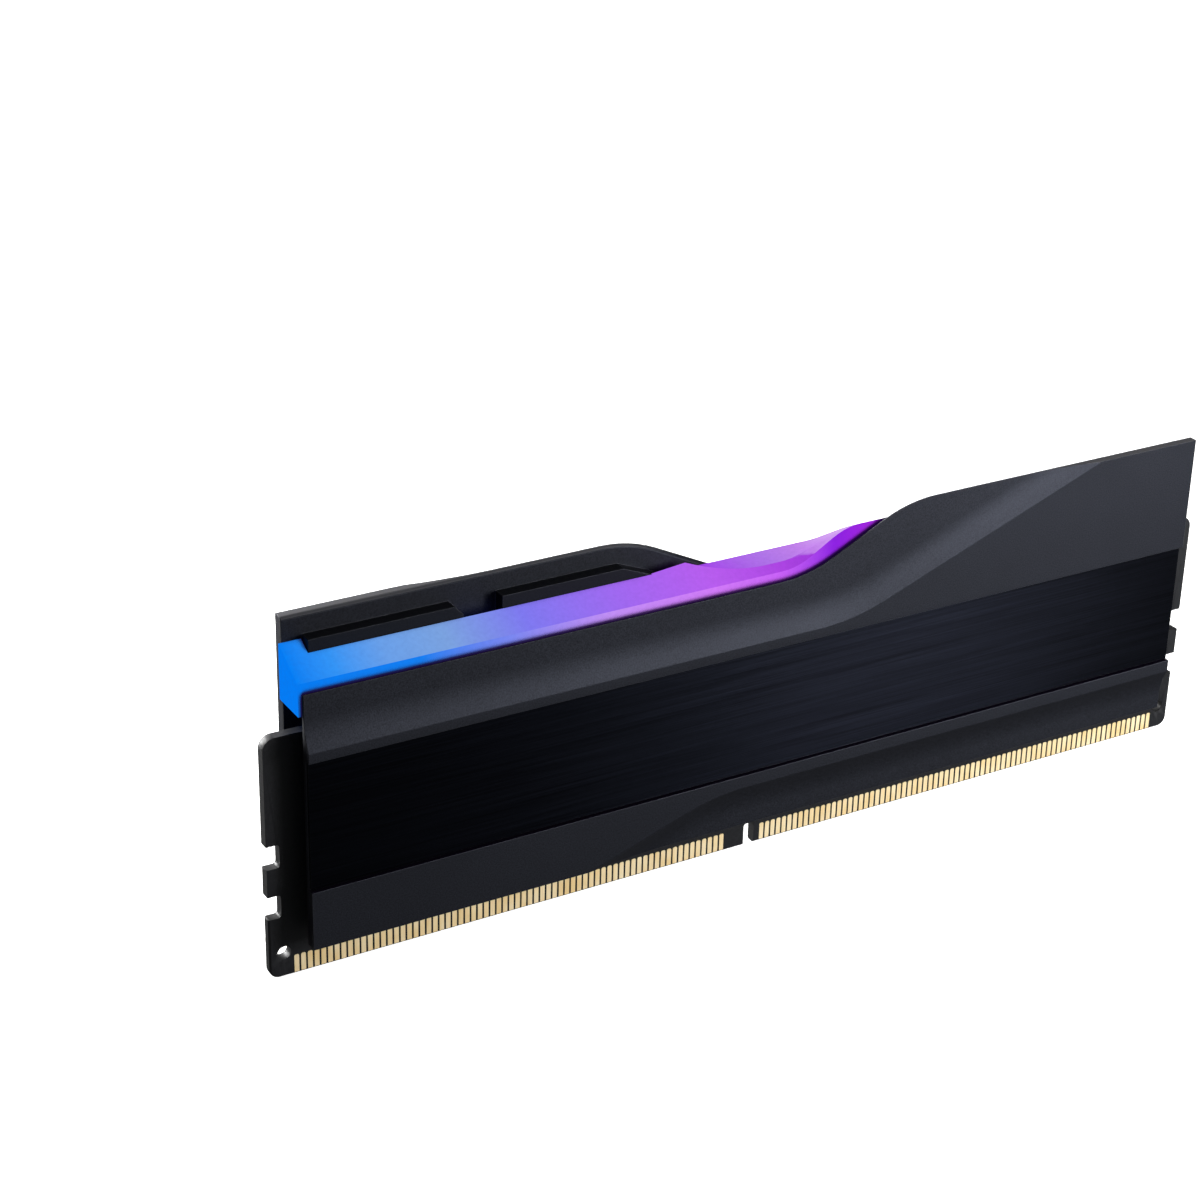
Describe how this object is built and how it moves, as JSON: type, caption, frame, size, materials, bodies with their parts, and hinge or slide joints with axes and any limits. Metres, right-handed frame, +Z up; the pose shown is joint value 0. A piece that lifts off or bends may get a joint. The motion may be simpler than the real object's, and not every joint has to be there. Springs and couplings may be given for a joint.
{
  "type": "desktop memory module",
  "caption": "Keyed edge-connector circuit board with memory chips, clamped between two dark metal heat spreader halves, with a translucent light bar along the top.",
  "frame": {"origin": "middle of the circuit board's bottom edge, the edge that the socket takes", "axes": "+X along the module's length, +Y across its thickness from the front half to the back half, +Z up from the contacts to the light bar"},
  "size_m": [0.1334, 0.008, 0.044],
  "materials": {
    "spreader_metal": "bead-blasted, anodised dark grey, matte",
    "brushed_metal": "brushed along its length, anodised black, satin",
    "diffuser": "frosted translucent polycarbonate, lit from inside",
    "board_mask": "matte black solder mask over glass-epoxy laminate",
    "contact_gold": "hard gold plating, satin",
    "chip_epoxy": "black moulding compound, matte",
    "inductor_ferrite": "grey moulded ferrite, matte",
    "capacitor_ceramic": "tan ceramic with tinned ends",
    "resistor_ceramic": "black glaze with tinned ends",
    "light_package": "white package with a clear window",
    "thermal_pad": "soft grey silicone, matte"
  },
  "bodies": {
    "root": {"brushed_strip_back": "brushed_metal", "brushed_strip_front": "brushed_metal", "bulk_capacitors": "capacitor_ceramic", "circuit_board": "board_mask", "contacts_back_left": "contact_gold", "contacts_back_right": "contact_gold", "contacts_front_left": "contact_gold", "contacts_front_right": "contact_gold", "decoupling_capacitors": "capacitor_ceramic", "heat_spreader_back": "spreader_metal", "heat_spreader_front": "spreader_metal", "light_bar": "diffuser", "lighting_controller_chip": "chip_epoxy", "lights_back": "light_package", "lights_front": "light_package", "memory_chip_1": "chip_epoxy", "memory_chip_2": "chip_epoxy", "memory_chip_3": "chip_epoxy", "memory_chip_4": "chip_epoxy", "memory_chip_5": "chip_epoxy", "memory_chip_6": "chip_epoxy", "memory_chip_7": "chip_epoxy", "memory_chip_8": "chip_epoxy", "power_inductors": "inductor_ferrite", "power_management_chip": "chip_epoxy", "serial_hub_chip": "chip_epoxy", "series_resistors": "resistor_ceramic", "thermal_pad_back": "thermal_pad", "thermal_pad_front_left": "thermal_pad", "thermal_pad_front_right": "thermal_pad", "thermal_pad_power": "thermal_pad"}
  },
  "joints": []
}
